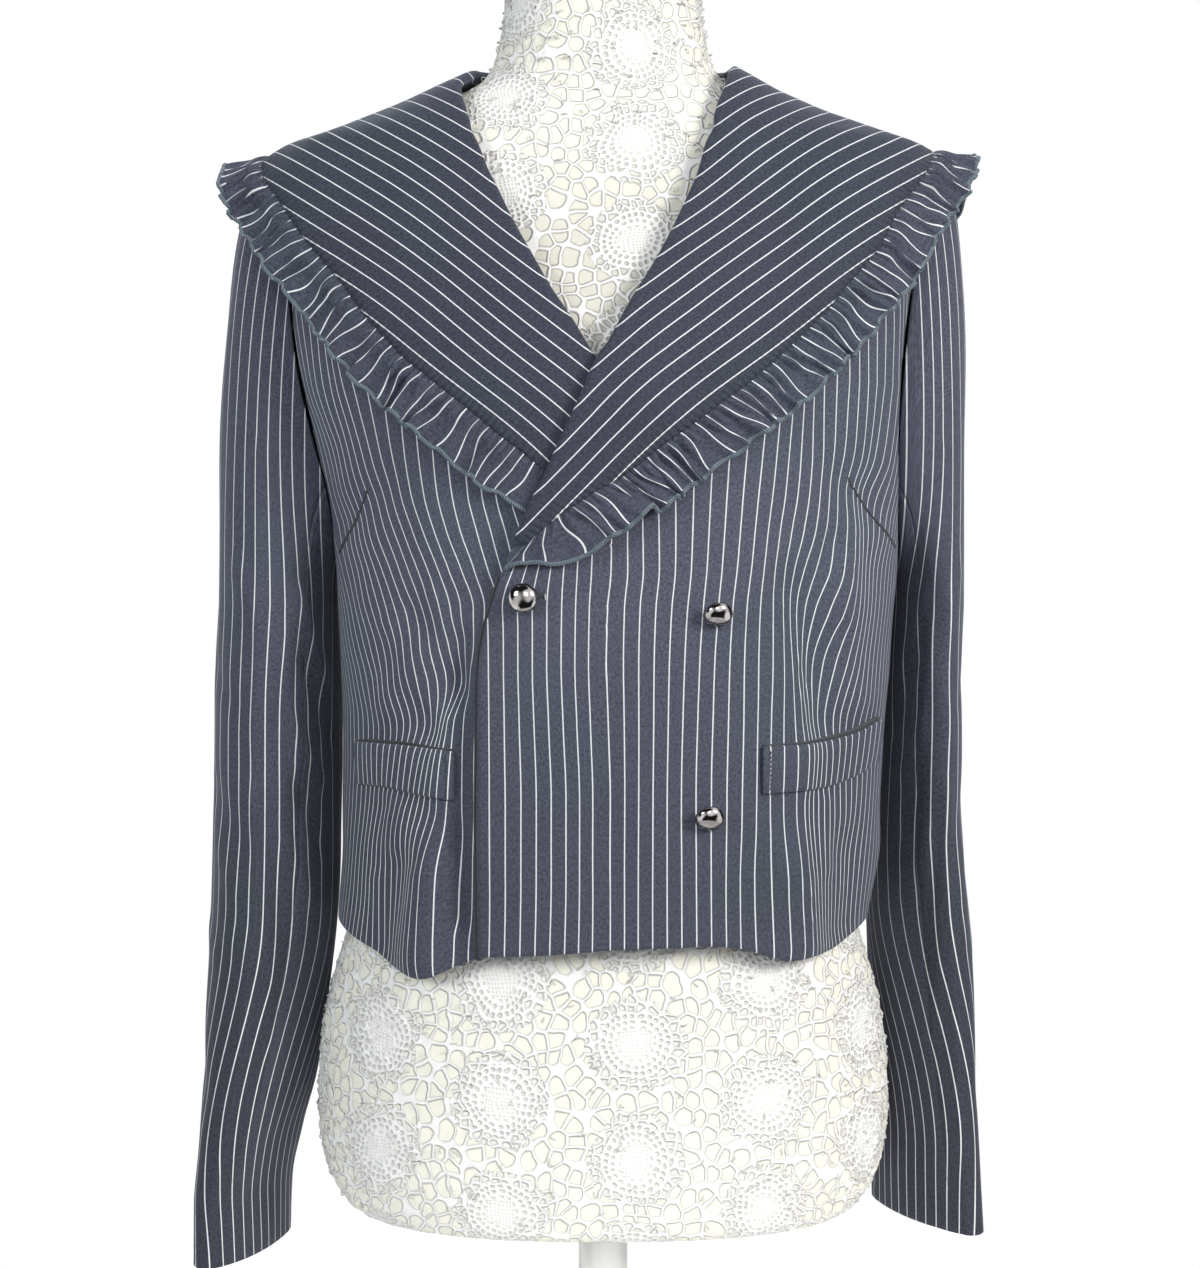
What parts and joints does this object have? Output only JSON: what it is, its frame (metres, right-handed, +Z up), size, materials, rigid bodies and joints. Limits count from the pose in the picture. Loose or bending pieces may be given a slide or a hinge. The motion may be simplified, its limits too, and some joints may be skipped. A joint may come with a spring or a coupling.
{
  "type": "cropped blazer on dress form",
  "caption": "Cropped pinstripe blazer with a double-breasted wrap and a wide collar edged with a gathered ruffle, on a limbless dress form.",
  "frame": {"origin": "centre of the underside of the stand's base plate", "axes": "+Z up, -Y the way the blazer's front faces, +X the wearer's left side"},
  "size_m": [0.4421, 0.2683, 0.8],
  "materials": {
    "suiting": "matt twill suiting with a fine pale pinstripe",
    "gunmetal": "polished gunmetal",
    "form_cover": "off-white crochet cover",
    "stand_metal": "satin"
  },
  "bodies": {
    "root": {"front_right": "suiting", "front_left": "suiting", "back": "suiting", "collar": "suiting", "ruffle_left": "suiting", "ruffle_right": "suiting", "sleeve_right_top": "suiting", "sleeve_right_under": "suiting", "sleeve_left_top": "suiting", "sleeve_left_under": "suiting", "pocket_welt_right": "suiting", "pocket_welt_left": "suiting", "button_wrap": "gunmetal", "button_upper": "gunmetal", "button_lower": "gunmetal", "form_torso": "form_cover", "form_pole": "stand_metal", "form_base": "stand_metal"}
  },
  "joints": []
}
